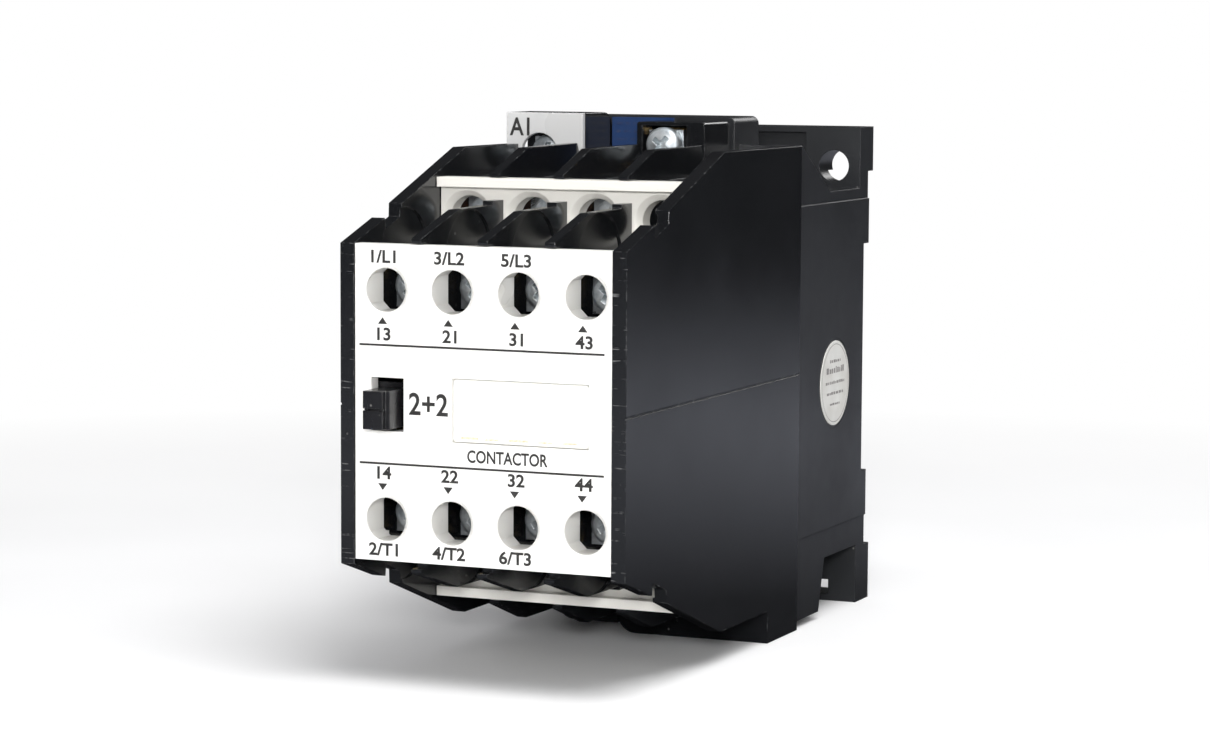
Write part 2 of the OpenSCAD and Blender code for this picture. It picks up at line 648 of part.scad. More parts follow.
module coil_block_a1() color("#1b1d20") difference() {
    slab_x(-body_half, a1_block_w) polygon(concat(
        [[divider_y + a1_cover_t + 0.1, block_foot_z], [divider_y + a1_cover_t + 0.1, a1_block_z]],
        arc([block_back_y - 3, a1_block_z - 3], 3, 90, 0), [[block_back_y, block_foot_z]]));
    // terminal room, open at the front and to the side where the wire enters
    block([-body_half - e, divider_y + a1_cover_t, deck_top], [a1_x + 3.7, coil_room_y, a1_block_z - 1.4]);
    coil_screw_hole(a1_x, a1_z);
}
module a1_cover() color("#d9dadb") difference() {
    block([-body_half + 0.1, divider_y, block_foot_z],
          [-body_half + a1_block_w, divider_y + a1_cover_t, a1_block_z]);
    along_y(a1_x, divider_y - 1, divider_y + 2, a1_z, coil_screw_r + 0.3);
}
module coil_block_a2() color("#1b1d20") difference() {
    slab_y(block_back_y - 0.7, block_back_y - 1.4 - divider_y)
        round_rect(a2_x - 4.6, block_foot_z, a2_x + 6.9, base_half - 1.3, 0.5);
    block([a2_x - 3.6, divider_y + 0.6, deck_top], [a2_x + 3.8, coil_room_y, base_half - 1.9]);
    coil_screw_hole(a2_x, a2_z);
}
module coil_label() color("#1f63b8") block([-body_half + a1_block_w + 0.2, block_back_y - 0.6, block_foot_z],
                                           [a2_x - 2.8, block_back_y, base_half - 0.9]);

// ---- Screws and clamping plates ----

// Pan-head screw: its head's front face is at y0 and it points to the rear
module pan_screw(x, y0, z, r, h, shank_r, shank) {
    difference() {
        union() {
            along_y(x, y0 + 0.7, y0 + h, z, r);
            along_y(x, y0, y0 + 0.7, z, r - 0.8, r);
        }
        for (a = [45, 135]) translate([x, y0 + 0.6, z]) rotate([0, a, 0])
            cube([r * 1.25, 1.4, 0.7], center = true);
    }
    along_y(x, y0 + h - e, y0 + h + shank, z, shank_r);
}
module clamp_plate(x, y0, z, half_x, half_z, r) difference() {
    block([x - half_x, y0, z - half_z], [x + half_x, y0 + clamp_t, z + half_z]);
    along_y(x, y0 - e, y0 + clamp_t + e, z, r + 0.15);
}
aux_clamp_y = aux_strip_y - wire_gap - clamp_t;
main_clamp_y = main_strip_y - wire_gap - clamp_t;
aux_clamp_half = chamber_w / 2 - 1.05;
main_clamp_half = chamber_w / 2 - 0.85;
module aux_screws() color("#b9bcc0") both_tiers() for (n = [1:4])
    pan_screw(pole_x(n), aux_clamp_y - head_h, aux_screw_z, head_r, head_h, thread_r,
        wire_gap + clamp_t + 5);
module main_screws() color("#b9bcc0") both_tiers() for (n = [1:3])
    pan_screw(pole_x(n), main_clamp_y - head_h, main_screw_z, head_r, head_h, thread_r,
        wire_gap + clamp_t + 6);
module aux_clamps() color("#c9ccd0") both_tiers() for (n = [1:4])
    clamp_plate(pole_x(n), aux_clamp_y, aux_screw_z, aux_clamp_half, 3.2, thread_r);
module main_clamps() color("#c9ccd0") both_tiers() for (n = [1:3])
    clamp_plate(pole_x(n), main_clamp_y, main_screw_z, main_clamp_half, 3.5, thread_r);
module coil_screws() color("#c5c8cc") {
    pan_screw(a1_x, a1_head_y, a1_z, coil_screw_r, head_h, thread_r, 5);
    pan_screw(a2_x, a2_head_y, a2_z, coil_screw_r, head_h, thread_r, 8);
}
module coil_clamps() color("#c9ccd0") {
    clamp_plate(a1_x, a1_head_y + head_h, a1_z, 2.9, 2.4, thread_r);
    clamp_plate(a2_x, a2_head_y + head_h, a2_z, 2.9, 2.4, thread_r);
}
case_head_h = head_h + 0.3;
module housing_screws() color("#b9bcc0") both_tiers()
    pan_screw(pole_x(4), divider_y - inner_wall - case_head_h, main_screw_z, head_r, case_head_h,
        case_screw_r, inner_wall + joint_y - divider_y + 8);

// ---- Contacts ----

// A bridge with a silver tip at each end; its tips face dir along Y
module bridge(x, y, w, t, tip_z, tip_r, tip_t, dir) {
    slab_y(y + (dir > 0 ? 0 : t), t) round_rect(x - w / 2, -tip_z - tip_r, x + w / 2, tip_z + tip_r, 0.8);
    both_tiers() along_y(x, dir > 0 ? y - e : y - tip_t, dir > 0 ? y + tip_t : y + e, tip_z, tip_r);
}
module main_bridge(n) color("#c27a45")
    bridge(pole_x(n), main_seat_y, main_strip_w, bridge_main_t, tip_main_z, tip_main_r, tip_main_t, 1);
function makes(n) = n == 1 || n == 4;
module aux_bridge(n) color("#c9a45a")
    bridge(pole_x(n), makes(n) ? no_seat_y : nc_seat_y, aux_strip_w - 1, bridge_aux_t,
        tip_aux_z, tip_aux_r, tip_aux_t, makes(n) ? 1 : -1);
module main_spring(n) color("#9aa0a6")
    coil_spring(pole_x(n), main_spring_end, main_seat_y - bridge_main_t, 0, 2.3, 0.35, 4);
module aux_spring(n) color("#9aa0a6") {
    if (makes(n)) coil_spring(pole_x(n), no_spring_end, no_seat_y - bridge_aux_t, 0, 1.9, 0.25, 4);
    else coil_spring(pole_x(n), nc_seat_y + bridge_aux_t, nc_spring_end, 0, 1.9, 0.25, 4);
}
module return_springs() color("#9aa0a6") for (s = [-1, 1])
    coil_spring(s * spring_x, wing_back_y, bobbin_front_y, 0, return_spring_r, return_wire_r, 6);

module fixed_strip(x, y, t, w, z0, z1, tip_z, tip_r, tip_t, dir, screw_z) difference() {
    union() {
        block([x - w / 2, y, z0], [x + w / 2, y + t, z1]);
        along_y(x, dir > 0 ? y + t - e : y - tip_t, dir > 0 ? y + t + tip_t : y + e, tip_z, tip_r);
    }
    along_y(x, y - e, y + t + e, screw_z, thread_r + 0.05);
}
module main_strip(n) fixed_strip(pole_x(n), main_strip_y, main_strip_t, main_strip_w,
    4.9, main_screw_z + 3.9, tip_main_z, tip_main_r, tip_main_t, -1, main_screw_z);
module aux_strip(n) fixed_strip(pole_x(n), aux_strip_y, aux_strip_t, aux_strip_w,
    4.3, aux_screw_z + 3.6, tip_aux_z, tip_aux_r, tip_aux_t, makes(n) ? -1 : 1, aux_screw_z);
module line_strip(n) color("#c27a45") main_strip(n);
module load_strip(n) color("#c27a45") mirror([0, 0, 1]) main_strip(n);
module upper_aux_strip(n) color("#c9a45a") aux_strip(n);
module lower_aux_strip(n) color("#c9a45a") mirror([0, 0, 1]) aux_strip(n);

// ---- Rail latch and label ----

latch_back_y = step_y - 0.1;
module rail_latch() color("#2f3236") difference() {
    union() {
        // sliding plate with a lip on each side
        block([-latch_half, latch_floor_y + fit_gap, -base_half + 0.2],
              [latch_half, latch_back_y, -rail_half - 6]);
        block([-latch_half - 1.8, latch_floor_y + fit_gap, -base_half + 4],
              [latch_half + 1.8, latch_lip_y - fit_gap, -rail_half - 7.4]);
        // hook that grips behind the bottom edge of the rail
        block([-latch_half, latch_back_y - 1.1, -rail_half - 6 - e],
              [latch_half, latch_back_y, -rail_half + 2.6]);
    }
    // window for the spring and its peg
    block([-1.9, latch_floor_y, latch_window_z[0]], [1.9, rear_y, latch_window_z[1]]);
    // grip for a screwdriver
    block([-4, latch_back_y - 1, -base_half + 1.2], [4, rear_y, -base_half + 2.4]);
}
module latch_spring() color("#9aa0a6")
    translate([0, (latch_floor_y + latch_back_y) / 2, 0]) rotate([90, 0, 0])
        coil_spring(0, latch_peg_z[1], latch_window_z[1], 0, 0.8, 0.18, 5);
module side_label() color("#eceae2") translate([base_x - 0.05, side_label_y, side_label_z]) rotate([0, 90, 0])
    cylinder(h = 0.15, r = side_label_r);

base_housing();
front_housing();
front_cover();
marking_plate();
upper_tier_cover();
lower_tier_cover();
contact_carrier();
armature();
armature_pin();
fixed_core();
shading_rings();
core_damper();
coil_bobbin();
coil_winding();
coil_leads();
coil_block_a1();
coil_block_a2();
a1_cover();
coil_label();
coil_terminal_a1();
coil_terminal_a2();
coil_screws();
coil_clamps();
return_springs();
main_bridge(1);  // main_bridge_1
main_bridge(2);  // main_bridge_2
main_bridge(3);  // main_bridge_3
main_spring(1);  // main_spring_1
main_spring(2);  // main_spring_2
main_spring(3);  // main_spring_3
aux_bridge(1);  // aux_bridge_1
aux_bridge(2);  // aux_bridge_2
aux_bridge(3);  // aux_bridge_3
aux_bridge(4);  // aux_bridge_4
aux_spring(1);  // aux_spring_1
aux_spring(2);  // aux_spring_2
aux_spring(3);  // aux_spring_3
aux_spring(4);  // aux_spring_4
line_strip(1);  // line_strip_1
line_strip(2);  // line_strip_2
line_strip(3);  // line_strip_3
load_strip(1);  // load_strip_1
load_strip(2);  // load_strip_2
load_strip(3);  // load_strip_3
upper_aux_strip(1);  // upper_aux_strip_1
upper_aux_strip(2);  // upper_aux_strip_2
upper_aux_strip(3);  // upper_aux_strip_3
upper_aux_strip(4);  // upper_aux_strip_4
lower_aux_strip(1);  // lower_aux_strip_1
lower_aux_strip(2);  // lower_aux_strip_2
lower_aux_strip(3);  // lower_aux_strip_3
lower_aux_strip(4);  // lower_aux_strip_4
main_screws();
main_clamps();
aux_screws();
aux_clamps();
housing_screws();
rail_latch();
latch_spring();
side_label();
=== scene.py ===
# Two-tier control contactor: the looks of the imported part, its terminal screws,
# printing, labels and finishes. Lengths are metres; MM turns millimetres into metres.
import json
import math
import random

import bmesh
import bpy
from mathutils import Matrix, Vector


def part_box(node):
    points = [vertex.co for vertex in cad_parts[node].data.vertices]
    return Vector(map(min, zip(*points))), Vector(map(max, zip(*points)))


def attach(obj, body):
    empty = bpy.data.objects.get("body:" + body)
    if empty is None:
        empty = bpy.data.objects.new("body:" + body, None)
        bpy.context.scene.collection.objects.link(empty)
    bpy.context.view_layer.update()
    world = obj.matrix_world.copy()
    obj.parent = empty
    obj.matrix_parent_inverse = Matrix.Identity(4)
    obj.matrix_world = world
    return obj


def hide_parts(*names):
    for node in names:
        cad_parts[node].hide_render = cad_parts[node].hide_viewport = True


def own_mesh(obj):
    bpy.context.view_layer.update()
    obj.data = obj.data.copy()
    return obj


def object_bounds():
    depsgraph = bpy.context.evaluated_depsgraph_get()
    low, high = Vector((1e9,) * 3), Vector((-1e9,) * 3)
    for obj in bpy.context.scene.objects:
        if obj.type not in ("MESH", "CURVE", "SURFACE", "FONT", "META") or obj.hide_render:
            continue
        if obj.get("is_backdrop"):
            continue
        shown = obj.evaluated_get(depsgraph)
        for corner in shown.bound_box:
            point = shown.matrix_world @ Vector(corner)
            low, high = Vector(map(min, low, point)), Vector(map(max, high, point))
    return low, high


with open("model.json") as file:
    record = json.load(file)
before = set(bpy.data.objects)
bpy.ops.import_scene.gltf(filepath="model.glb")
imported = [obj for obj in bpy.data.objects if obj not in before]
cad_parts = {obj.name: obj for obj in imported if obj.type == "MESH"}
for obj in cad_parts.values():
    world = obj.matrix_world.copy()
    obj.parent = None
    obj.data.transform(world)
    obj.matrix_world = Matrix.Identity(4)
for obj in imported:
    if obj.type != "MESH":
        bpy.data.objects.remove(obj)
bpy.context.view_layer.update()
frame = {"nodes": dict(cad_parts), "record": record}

MM = 0.001


# ---- Places taken from the frame ----

def middle(node):
    """The centre of a node's box."""
    low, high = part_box(node)
    return (low + high) / 2


POLES = [middle(f"aux_bridge_{n}").x for n in (1, 2, 3, 4)]
COVER_LOW, COVER_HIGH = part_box("front_cover")
FACE_Y = COVER_LOW.y
WALL_END_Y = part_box("front_housing")[0].y
HEAD_R = 2.9 * MM
HEAD_H = 2.4 * MM
COIL_HEAD_R = 2.8 * MM
THREAD_R = 1.65 * MM
AUX_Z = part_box("aux_screws")[1].z - HEAD_R
MAIN_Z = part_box("main_screws")[1].z - HEAD_R


# ---- Shader helpers ----

def feed(tree, socket, value):
    """Links a socket to another, or sets it."""
    if isinstance(value, bpy.types.NodeSocket):
        tree.links.new(value, socket)
    else:
        socket.default_value = value


def put(tree, kind, inputs=None, **settings):
    """Adds one node, sets its properties, then feeds its inputs by name or number."""
    made = tree.nodes.new(kind)
    for name, value in settings.items():
        setattr(made, name, value)
    for name, value in (inputs or {}).items():
        feed(tree, made.inputs[name], value)
    return made


def maths(tree, operation, a, b=0.0, clamp=False):
    made = put(tree, "ShaderNodeMath", {0: a, 1: b}, operation=operation, use_clamp=clamp)
    return made.outputs[0]


def remap(tree, value, low, high, to_low=0.0, to_high=1.0):
    return put(tree, "ShaderNodeMapRange",
               {0: value, 1: low, 2: high, 3: to_low, 4: to_high}).outputs[0]


def mix_colour(tree, factor, a, b):
    """From colour a to colour b by a factor."""
    made = put(tree, "ShaderNodeMix", {0: factor, 6: a, 7: b}, data_type="RGBA")
    return made.outputs[2]


def rgba(colour, gain=1.0):
    """A colour made lighter or darker by a gain, with full alpha."""
    return (*[min(1.0, c * gain) for c in colour], 1.0)


def noise(tree, vector, scale, detail=3.0, rough=0.5):
    return put(tree, "ShaderNodeTexNoise",
               {"Vector": vector, "Scale": scale, "Detail": detail, "Roughness": rough}
               ).outputs["Fac"]


def stretched(tree, vector, scale):
    """A place scaled by its own amount along each axis."""
    return put(tree, "ShaderNodeVectorMath", {0: vector, 1: scale},
               operation="MULTIPLY").outputs[0]


def new_group(name, inputs, outputs):
    """A shader group with named inputs and outputs; gives its tree and the nodes at its two ends."""
    tree = bpy.data.node_groups.new(name, "ShaderNodeTree")
    for label, value in inputs:
        vector = isinstance(value, tuple)
        socket = tree.interface.new_socket(
            label, in_out="INPUT", socket_type="NodeSocketVector" if vector else "NodeSocketFloat")
        socket.default_value = value
    for label in outputs:
        tree.interface.new_socket(label, in_out="OUTPUT", socket_type="NodeSocketFloat")
    return tree, tree.nodes.new("NodeGroupInput"), tree.nodes.new("NodeGroupOutput")


def grain_group():
    """Fine pimples of a moulding tool, over a broad and slow unevenness."""
    tree, given, out = new_group(
        "moulded_grain", [("Place", (0.0, 0.0, 0.0)), ("Fine", 4000.0), ("Broad", 60.0)],
        ["Height", "Mottle"])
    place = given.outputs["Place"]
    fine = noise(tree, place, given.outputs["Fine"], 2.0)
    broad = noise(tree, place, given.outputs["Broad"], 3.0)
    height = maths(tree, "ADD", maths(tree, "MULTIPLY", fine, 0.6), maths(tree, "MULTIPLY", broad, 0.4))
    feed(tree, out.inputs["Height"], height)
    feed(tree, out.inputs["Mottle"], broad)
    return tree


def wear_group():
    """Worn edges: where the rounded normal leaves the flat one, broken up by noise."""
    tree, given, out = new_group(
        "edge_wear", [("Place", (0.0, 0.0, 0.0)), ("Patchy", 900.0), ("Keep", 0.5)], ["Mask"])
    rounded = put(tree, "ShaderNodeBevel", samples=4)
    rounded.inputs["Radius"].default_value = 0.22 * MM
    flat = put(tree, "ShaderNodeNewGeometry").outputs["Normal"]
    along = put(tree, "ShaderNodeVectorMath", {0: rounded.outputs[0], 1: flat},
                operation="DOT_PRODUCT").outputs["Value"]
    edge = remap(tree, along, 0.995, 0.86)
    patch = noise(tree, given.outputs["Place"], given.outputs["Patchy"], 4.0, 0.6)
    low = maths(tree, "SUBTRACT", 1.0, given.outputs["Keep"])
    worn = remap(tree, patch, maths(tree, "MULTIPLY", low, 0.85), maths(tree, "ADD", low, 0.12))
    feed(tree, out.inputs["Mask"], maths(tree, "MULTIPLY", edge, worn, True))
    return tree


def scratch_group():
    """Thin wandering lines, long in the direction where the place is stretched least."""
    tree, given, out = new_group(
        "fine_scratches",
        [("Place", (0.0, 0.0, 0.0)), ("Stretch", (1.0, 1.0, 1.0)), ("Width", 0.006), ("Keep", 0.5)],
        ["Mask"])
    place = stretched(tree, given.outputs["Place"], given.outputs["Stretch"])
    field = noise(tree, place, 1.0, 1.0, 0.4)
    off = maths(tree, "ABSOLUTE", maths(tree, "SUBTRACT", field, 0.5))
    line = remap(tree, off, given.outputs["Width"], 0.0)
    kept = noise(tree, given.outputs["Place"], 260.0, 1.0)
    low = maths(tree, "SUBTRACT", 1.0, given.outputs["Keep"])
    shown = remap(tree, kept, low, maths(tree, "ADD", low, 0.08))
    feed(tree, out.inputs["Mask"], maths(tree, "MULTIPLY", line, shown, True))
    return tree


def dust_group():
    """Small specks, a few in each square centimetre."""
    tree, given, out = new_group(
        "dust_specks", [("Place", (0.0, 0.0, 0.0)), ("Number", 900.0), ("Size", 0.12), ("Keep", 0.2)],
        ["Mask"])
    cells = put(tree, "ShaderNodeTexVoronoi",
                {"Vector": given.outputs["Place"], "Scale": given.outputs["Number"]})
    speck = remap(tree, cells.outputs["Distance"], given.outputs["Size"], 0.0)
    lot = put(tree, "ShaderNodeSeparateColor", {0: cells.outputs["Color"]}).outputs[0]
    kept = maths(tree, "LESS_THAN", lot, given.outputs["Keep"])
    feed(tree, out.inputs["Mask"], maths(tree, "MULTIPLY", speck, kept, True))
    return tree


GRAIN = grain_group()
WEAR = wear_group()
SCRATCHES = scratch_group()
DUST = dust_group()


def use(tree, group, inputs):
    """Places a shader group in a material with its own values."""
    made = put(tree, "ShaderNodeGroup", node_tree=group)
    for name, value in inputs.items():
        feed(tree, made.inputs[name], value)
    return made


def start_material(name):
    material = bpy.data.materials.new(name)
    material.use_nodes = True
    tree = material.node_tree
    shader = next(n for n in tree.nodes if n.type == "BSDF_PRINCIPLED")
    place = put(tree, "ShaderNodeTexCoord").outputs["Object"]
    return material, tree, shader, place


def rounded_bump(tree, shader, height, strength, distance, radius=0.2 * MM):
    """Feeds the normal with a bump that lies over softly rounded edges."""
    soft = put(tree, "ShaderNodeBevel", samples=4)
    soft.inputs["Radius"].default_value = radius
    bump = put(tree, "ShaderNodeBump",
               {"Height": height, "Strength": strength, "Distance": distance,
                "Normal": soft.outputs[0]})
    feed(tree, shader.inputs["Normal"], bump.outputs[0])


# ---- Materials ----

DUST_GREY = (0.42, 0.41, 0.39)


def plastic(name, colour, rough, spread=0.08, fine=4000.0, depth=0.02 * MM, strength=0.35,
            wear=0.35, worn=None, scratch=0.3, dust=0.15, mottle=0.12, extra=None, milky=False):
    """Moulded plastic: grain, uneven gloss, worn edges, hairline scratches and dust.

    extra(tree, place) gives one more mask of marks; a milky plastic lets a little light in.
    """
    material, tree, shader, place = start_material(name)
    grain = use(tree, GRAIN, {"Place": place, "Fine": fine, "Broad": 55.0})
    edges = use(tree, WEAR, {"Place": place, "Patchy": 700.0, "Keep": wear}).outputs["Mask"]
    lines = use(tree, SCRATCHES, {"Place": place, "Stretch": (140.0, 420.0, 900.0),
                                  "Width": 0.004, "Keep": scratch}).outputs["Mask"]
    specks = use(tree, DUST, {"Place": place, "Number": 700.0, "Size": 0.16,
                              "Keep": dust}).outputs["Mask"]
    light = worn or [min(1.0, c * 1.6 + 0.09) for c in colour]
    tone = mix_colour(tree, grain.outputs["Mottle"],
                      rgba(colour, 1.0 - mottle), rgba(colour, 1.0 + mottle))
    marks = maths(tree, "MAXIMUM", edges, maths(tree, "MULTIPLY", lines, 0.45))
    if extra:
        marks = maths(tree, "MAXIMUM", marks, extra(tree, place))
    tone = mix_colour(tree, maths(tree, "MULTIPLY", marks, 0.55), tone, rgba(light))
    tone = mix_colour(tree, maths(tree, "MULTIPLY", specks, 0.4), tone, rgba(DUST_GREY))
    feed(tree, shader.inputs["Base Color"], tone)
    gloss = remap(tree, grain.outputs["Mottle"], 0.3, 0.7, rough - spread, rough + spread)
    gloss = maths(tree, "ADD", gloss, maths(tree, "MULTIPLY", marks, 0.25), True)
    feed(tree, shader.inputs["Roughness"], gloss)
    height = maths(tree, "SUBTRACT", grain.outputs["Height"], maths(tree, "MULTIPLY", marks, 0.5))
    rounded_bump(tree, shader, height, strength, depth)
    if milky:
        shader.inputs["Subsurface Weight"].default_value = 0.08
        shader.inputs["Subsurface Scale"].default_value = 1.0 * MM
        shader.inputs["Subsurface Radius"].default_value = (1.0, 0.9, 0.75)
    return material


def wall_end_scuffs(tree, place):
    """Short level rubs across the front ends of the side walls."""
    part = put(tree, "ShaderNodeSeparateXYZ", {0: place}).outputs
    front = remap(tree, part[1], WALL_END_Y + 0.5 * MM, WALL_END_Y + 0.1 * MM)
    rubs = noise(tree, stretched(tree, place, (130.0, 10.0, 1900.0)), 1.0, 2.0, 0.7)
    line = remap(tree, rubs, 0.60, 0.68)
    fade = noise(tree, stretched(tree, place, (900.0, 10.0, 260.0)), 1.0, 1.0)
    shown = remap(tree, fade, 0.45, 0.6)
    return maths(tree, "MULTIPLY", front, maths(tree, "MULTIPLY", line, shown), True)


def metal(name, colour, rough, tarnish, spread=0.14, lines=(300.0, 300.0, 2600.0), coil=0.0):
    """Plated or bare metal: drawn lines, stains and dull patches; coil adds the turns of a winding."""
    material, tree, shader, place = start_material(name)
    grain = use(tree, GRAIN, {"Place": place, "Fine": 2600.0, "Broad": 420.0})
    drawn = use(tree, SCRATCHES, {"Place": place, "Stretch": lines, "Width": 0.02,
                                  "Keep": 0.55}).outputs["Mask"]
    edges = use(tree, WEAR, {"Place": place, "Patchy": 1500.0, "Keep": 0.6}).outputs["Mask"]
    stain = remap(tree, grain.outputs["Mottle"], 0.42, 0.66)
    tone = mix_colour(tree, stain, rgba(colour), rgba(tarnish))
    tone = mix_colour(tree, maths(tree, "MULTIPLY", edges, 0.6), tone, rgba(colour, 1.25))
    feed(tree, shader.inputs["Base Color"], tone)
    shader.inputs["Metallic"].default_value = 1.0
    dull = remap(tree, grain.outputs["Mottle"], 0.3, 0.7, rough - spread, rough + spread)
    feed(tree, shader.inputs["Roughness"],
         maths(tree, "ADD", dull, maths(tree, "MULTIPLY", drawn, 0.15), True))
    height = maths(tree, "SUBTRACT", grain.outputs["Height"], maths(tree, "MULTIPLY", drawn, 0.3))
    if coil:
        bands = put(tree, "ShaderNodeTexWave", {"Vector": place, "Scale": coil, "Distortion": 0.4},
                    bands_direction="Y").outputs["Fac"]
        height = maths(tree, "ADD", height, maths(tree, "MULTIPLY", bands, 2.0))
    rounded_bump(tree, shader, height, 0.5, 0.03 * MM, 0.12 * MM)
    return material


def paper(name, colour, fade):
    """A stuck-on label: patchy tone and fine fibres."""
    material, tree, shader, place = start_material(name)
    grain = use(tree, GRAIN, {"Place": place, "Fine": 3000.0, "Broad": 180.0})
    lines = use(tree, SCRATCHES, {"Place": place, "Stretch": (500.0, 700.0, 260.0), "Width": 0.01,
                                  "Keep": 0.4}).outputs["Mask"]
    tone = mix_colour(tree, remap(tree, grain.outputs["Mottle"], 0.35, 0.7), rgba(colour), rgba(fade))
    tone = mix_colour(tree, maths(tree, "MULTIPLY", lines, 0.25), tone, rgba(fade, 0.8))
    feed(tree, shader.inputs["Base Color"], tone)
    feed(tree, shader.inputs["Roughness"], remap(tree, grain.outputs["Mottle"], 0.3, 0.7, 0.38, 0.55))
    rounded_bump(tree, shader, grain.outputs["Height"], 0.25, 0.02 * MM, 0.05 * MM)
    return material


HOUSING_BLACK = plastic(
    "gloss_black_housing", (0.007, 0.0075, 0.0085), 0.17, spread=0.05, fine=900.0, strength=0.12,
    worn=(0.2, 0.2, 0.2), wear=0.42, scratch=0.25, dust=0.1, extra=wall_end_scuffs)
BASE_BLACK = plastic(
    "matt_black_base", (0.017, 0.018, 0.020), 0.38, fine=2600.0, strength=0.5,
    worn=(0.16, 0.16, 0.16), wear=0.35, dust=0.22)
COVER_WHITE = plastic(
    "warm_white_cover", (0.84, 0.83, 0.80), 0.34, fine=3000.0, strength=0.16, wear=0.3,
    worn=(0.92, 0.91, 0.88), scratch=0.12, dust=0.05, mottle=0.012, milky=True)
TIER_CREAM = plastic(
    "cream_tier_cover", (0.83, 0.81, 0.755), 0.36, fine=3000.0, strength=0.2, wear=0.3,
    worn=(0.88, 0.86, 0.8), scratch=0.15, dust=0.06, mottle=0.02)
PLATE_WHITE = plastic(
    "blank_marking_plate", (0.80, 0.79, 0.75), 0.28, fine=2000.0, strength=0.08, wear=0.2,
    scratch=0.1, dust=0.04, mottle=0.01)
CARRIER_BLACK = plastic(
    "satin_black_carrier", (0.007, 0.007, 0.008), 0.24, fine=2200.0, strength=0.2,
    worn=(0.14, 0.14, 0.14), wear=0.5)
BOBBIN_NYLON = plastic(
    "natural_nylon_bobbin", (0.72, 0.66, 0.5), 0.45, fine=1800.0, strength=0.3, mottle=0.05)
COVER_GREY = plastic(
    "clear_grey_cover", (0.56, 0.56, 0.555), 0.3, fine=2200.0, strength=0.12, wear=0.35,
    worn=(0.75, 0.75, 0.74), mottle=0.03, milky=True)
RUBBER_BLACK = plastic(
    "black_rubber_damper", (0.02, 0.02, 0.02), 0.75, fine=1500.0, strength=0.6, wear=0.1)

ZINC = metal("bright_zinc_plate", (0.74, 0.77, 0.79), 0.36, (0.46, 0.49, 0.52))
SCREW_ZINC = metal("dulled_zinc_screws", (0.82, 0.86, 0.88), 0.52, (0.42, 0.46, 0.49))
IRON = metal("ground_sheet_iron", (0.30, 0.31, 0.33), 0.42, (0.17, 0.16, 0.16),
             lines=(4200.0, 60.0, 60.0))
COPPER = metal("bare_copper", (0.74, 0.38, 0.22), 0.32, (0.42, 0.2, 0.12))
WIRE_COPPER = metal("enamelled_copper_wire", (0.55, 0.22, 0.1), 0.25, (0.34, 0.12, 0.06),
                    coil=700.0)
BRASS = metal("bare_brass", (0.74, 0.56, 0.28), 0.3, (0.46, 0.33, 0.16))
SPRING = metal("drawn_spring_wire", (0.5, 0.51, 0.53), 0.25, (0.3, 0.3, 0.32))
BLUE_LABEL = paper("blue_coil_label", (0.003, 0.022, 0.09), (0.004, 0.033, 0.125))
SIDE_PAPER = paper("off_white_side_label", (0.60, 0.60, 0.575), (0.52, 0.51, 0.48))


def ink(name, colour):
    """Printed ink, a little thinner in places; the same flat finish is used for the beige dashes on the
    marking plate.
    """
    material, tree, shader, place = start_material(name)
    patch = noise(tree, place, 2600.0, 3.0)
    feed(tree, shader.inputs["Base Color"],
         mix_colour(tree, remap(tree, patch, 0.35, 0.7), rgba(colour), rgba(colour, 1.7)))
    feed(tree, shader.inputs["Roughness"], remap(tree, patch, 0.3, 0.7, 0.35, 0.5))
    return material


DARK_INK = ink("grey_black_print", (0.022, 0.021, 0.020))
GREY_INK = ink("faded_grey_print", (0.17, 0.16, 0.155))
NAVY_INK = ink("navy_print", (0.006, 0.02, 0.07))
DASH_BEIGE = ink("beige_plate_dashes", (0.55, 0.47, 0.33))

FINISHES = {
    "base_plastic": BASE_BLACK, "housing_plastic": HOUSING_BLACK, "cover_plastic": COVER_WHITE,
    "plate_plastic": PLATE_WHITE, "tier_plastic": TIER_CREAM, "carrier_plastic": CARRIER_BLACK,
    "core_iron": IRON, "zinc_steel": ZINC, "copper": COPPER, "contact_brass": BRASS,
    "damper_rubber": RUBBER_BLACK, "bobbin_plastic": BOBBIN_NYLON,
    "terminal_cover_plastic": COVER_GREY, "label_blue": BLUE_LABEL, "label_paper": SIDE_PAPER,
    "spring_steel": SPRING,
}


def dress_cad_nodes():
    """Gives every CAD node the finish of its material slot."""
    for part in frame["record"]["subparts"]:
        body = frame["nodes"][part["node"]]
        finish = WIRE_COPPER if part["node"] == "coil_winding" else FINISHES[part["material_slot"]]
        body.data.materials.clear()
        body.data.materials.append(finish)


def soften(node, width, segments=2, angle=28.0):
    """Rounds a node's sharp edges, with its mesh left as it is."""
    part = frame["nodes"][node]
    weld = part.modifiers.new("join_corners", "WELD")
    weld.merge_threshold = 0.002 * MM
    flat = part.modifiers.new("merge_flats", "DECIMATE")
    flat.decimate_type = "DISSOLVE"
    flat.angle_limit = math.radians(0.5)
    round_edges = part.modifiers.new("round_edges", "BEVEL")
    round_edges.width = width
    round_edges.segments = segments
    round_edges.limit_method = "ANGLE"
    round_edges.angle_limit = math.radians(angle)
    round_edges.use_clamp_overlap = True
    round_edges.harden_normals = False
    smooth = part.modifiers.new("even_shading", "WEIGHTED_NORMAL")
    smooth.keep_sharp = False


dress_cad_nodes()
SMALL_EDGE, WALL_EDGE = 0.18 * MM, 0.3 * MM
for name in ("front_cover", "marking_plate", "upper_tier_cover", "lower_tier_cover",
             "contact_carrier", "coil_block_a1", "coil_block_a2", "a1_cover", "rail_latch"):
    soften(name, SMALL_EDGE)
soften("front_housing", WALL_EDGE)
soften("base_housing", WALL_EDGE, segments=1)


# ---- Mesh helpers ----

